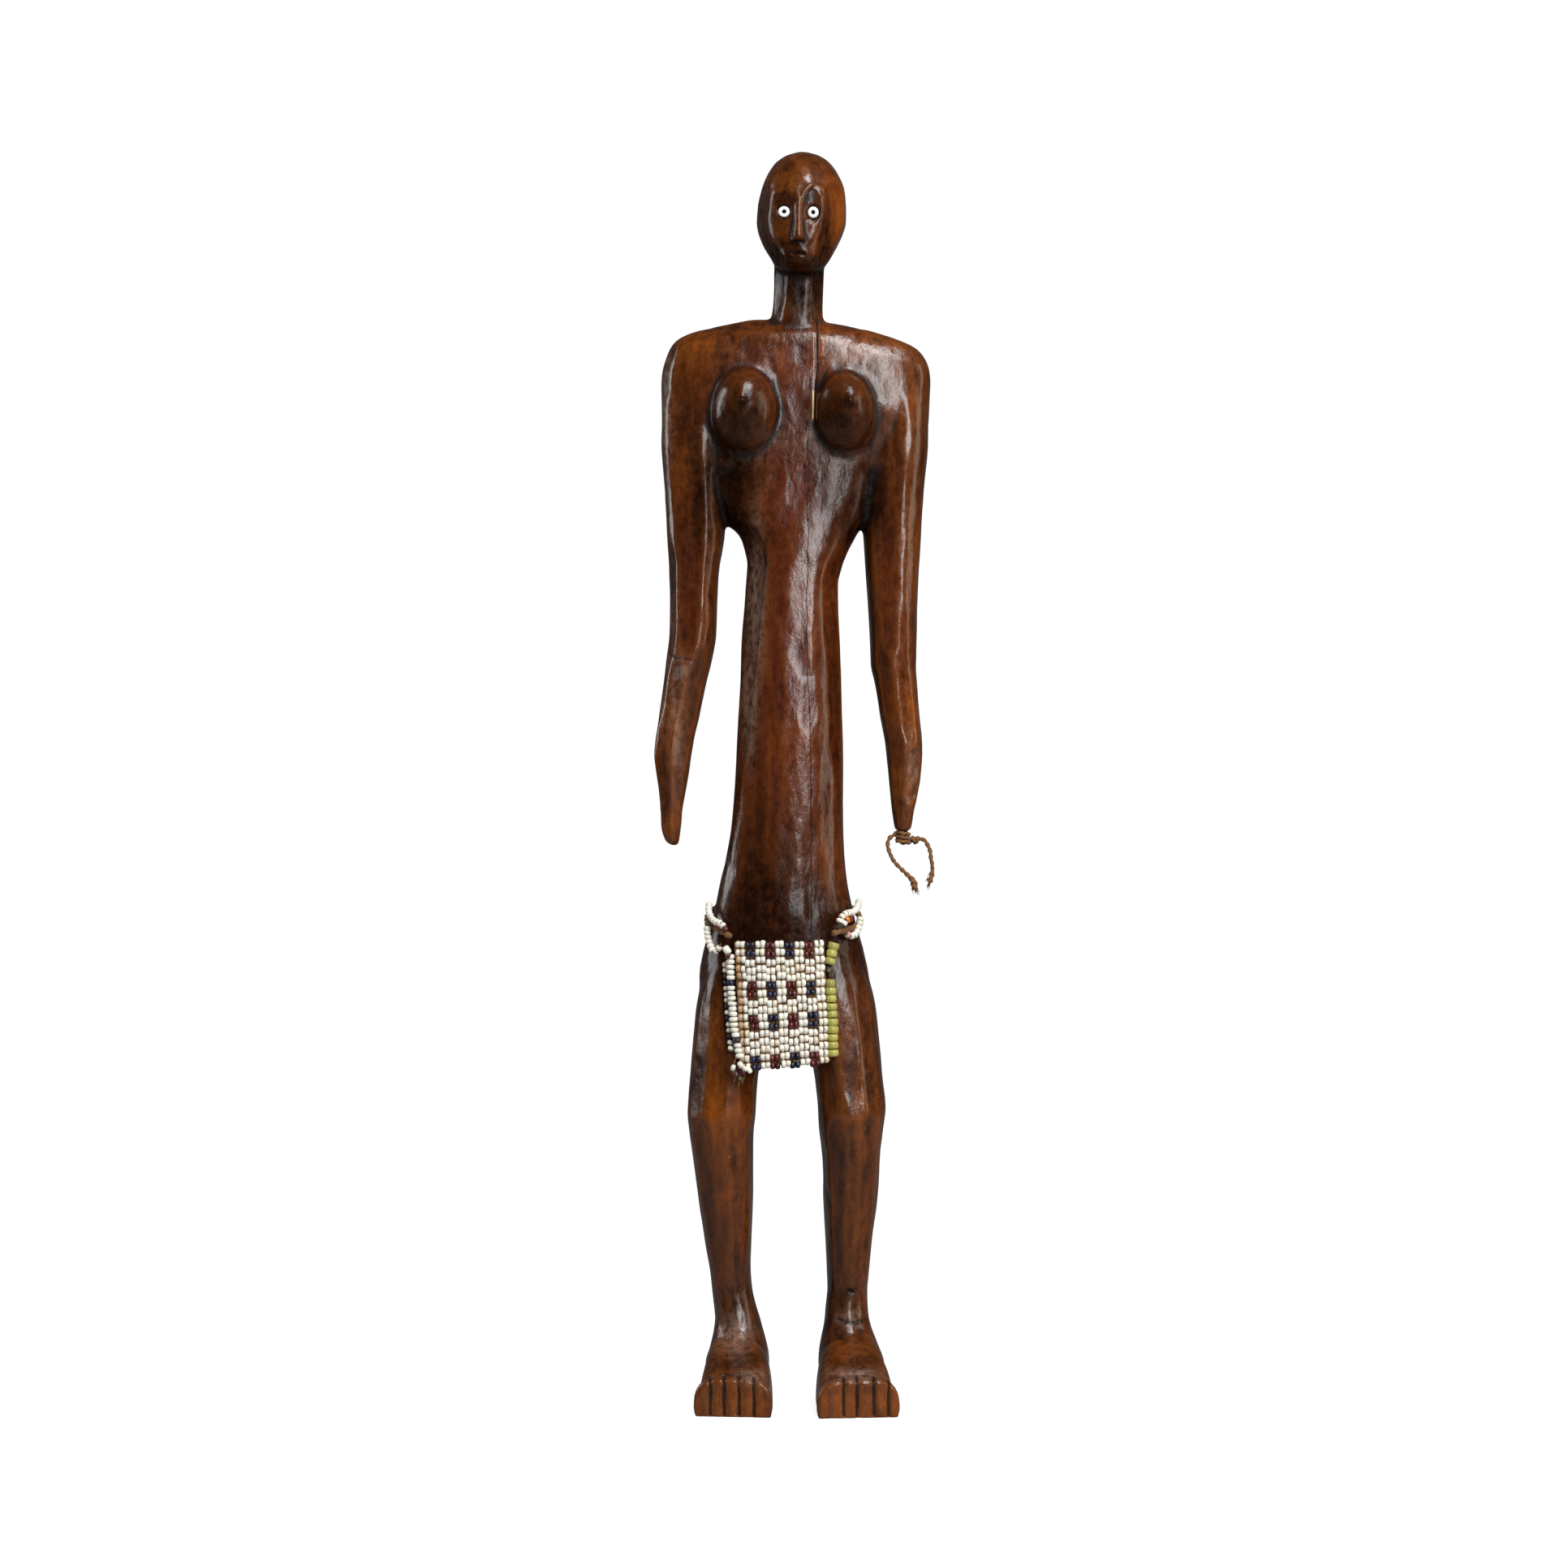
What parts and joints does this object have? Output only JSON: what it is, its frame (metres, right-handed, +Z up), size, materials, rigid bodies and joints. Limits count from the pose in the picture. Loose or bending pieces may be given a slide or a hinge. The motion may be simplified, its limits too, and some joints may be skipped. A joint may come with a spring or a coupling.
{
  "type": "carved standing figure",
  "caption": "Slender carved wooden standing female figure with ring-bead eyes, a beaded apron on a fibre cord round the hips, and a fibre cord tied at one wrist",
  "frame": {"origin": "on the floor under the middle of the figure, on the plane of both soles", "axes": "+Z up; the figure faces -Y; +X is the viewer's right, which is the figure's own left"},
  "size_m": [0.1218, 0.0665, 0.5463],
  "materials": {
    "figure_wood": "dark red-brown oiled and handled patina, glossy on the high spots",
    "ivory_bead": "opaque glass seed beads, glossy",
    "green_bead": "opaque yellow-green glass beads, glossy",
    "fibre_cord": "dull brown twisted plant fibre"
  },
  "bodies": {
    "root": {"figure": "figure_wood", "eye_bead_left": "ivory_bead", "eye_bead_right": "ivory_bead", "apron_panel": "ivory_bead", "apron_white_edge": "ivory_bead", "apron_green_edge": "green_bead", "waist_cord": "fibre_cord", "waist_beads_left": "ivory_bead", "waist_beads_right": "ivory_bead", "wrist_wrap": "fibre_cord", "wrist_cord_left_tail": "fibre_cord", "wrist_cord_right_tail": "fibre_cord"}
  },
  "joints": []
}
